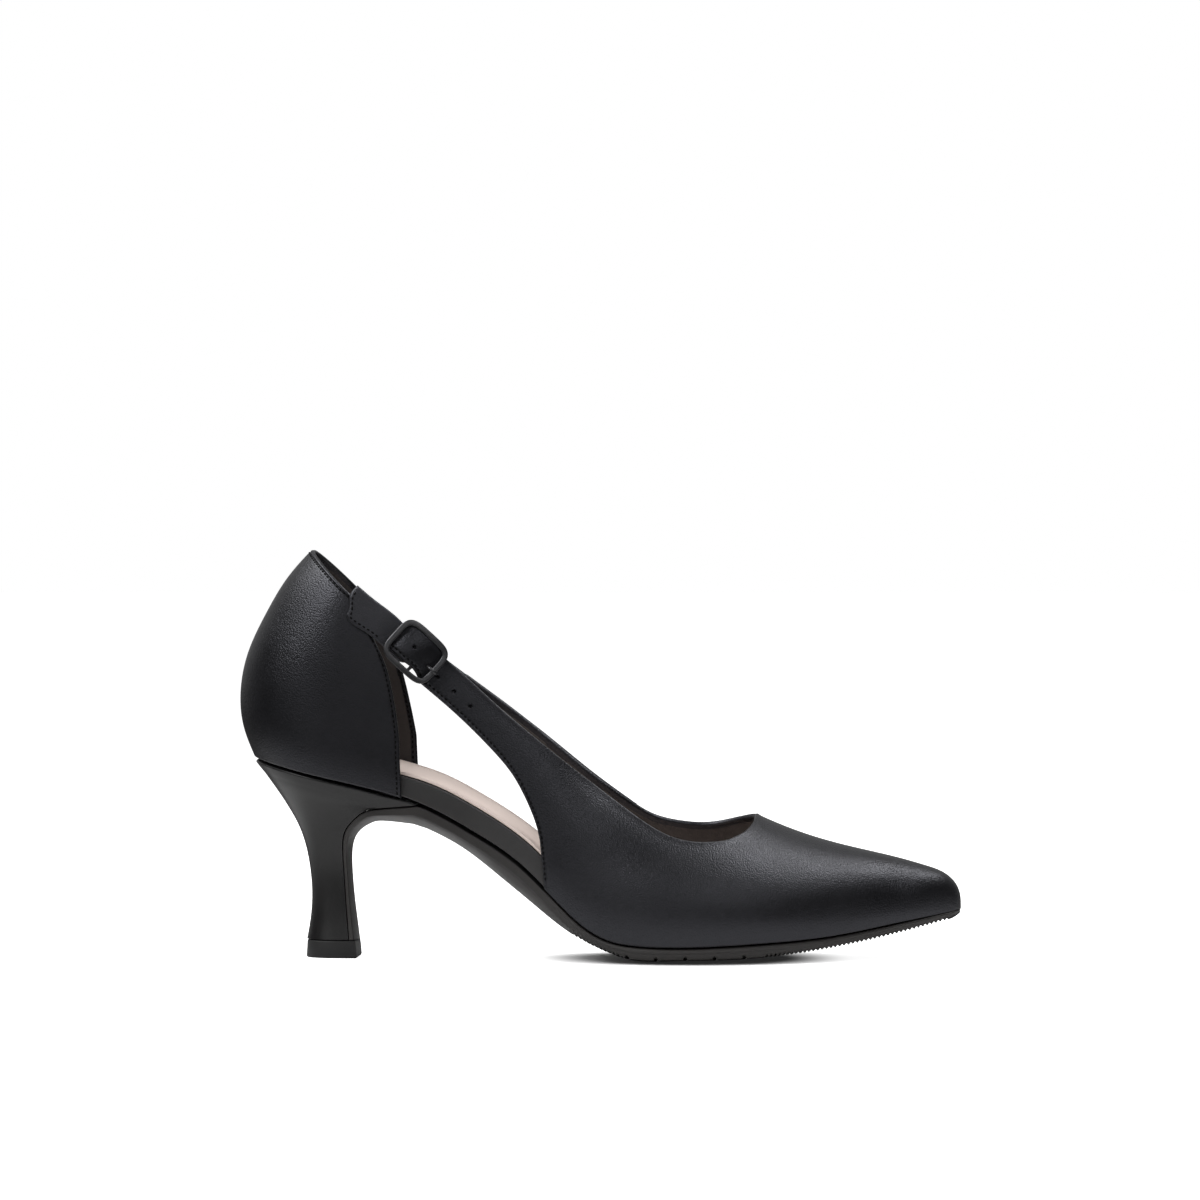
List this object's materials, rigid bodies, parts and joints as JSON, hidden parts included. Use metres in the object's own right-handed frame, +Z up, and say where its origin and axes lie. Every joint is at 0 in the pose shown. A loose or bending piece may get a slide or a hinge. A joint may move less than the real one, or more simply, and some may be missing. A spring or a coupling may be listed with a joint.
{
  "type": "strapped court shoe",
  "caption": "Pointed court shoe for the right foot on a flared heel, with open sides, a slim strap over each side and a buckle on the outer strap.",
  "frame": {"origin": "under the middle of the shoe's box, on the floor", "axes": "+X to the toe along the shoe's length, +Y to the inner side of the foot, +Z up"},
  "size_m": [0.2444, 0.0767, 0.1385],
  "materials": {
    "upper_leather": "black grained leather, satin",
    "board_wrap": "black leather, satin",
    "sock": "pale nude lining leather, matt",
    "sole_rubber": "black moulded rubber, satin",
    "heel_cover": "black smooth leather cover, satin",
    "buckle_metal": "black lacquered metal, satin"
  },
  "bodies": {
    "root": {"upper": "upper_leather", "insole_board": "board_wrap", "sock_lining": "sock", "outsole": "sole_rubber", "heel": "heel_cover", "top_piece": "sole_rubber", "buckle_tab": "upper_leather", "buckle_frame": "buckle_metal", "buckle_prong": "buckle_metal"}
  },
  "joints": []
}
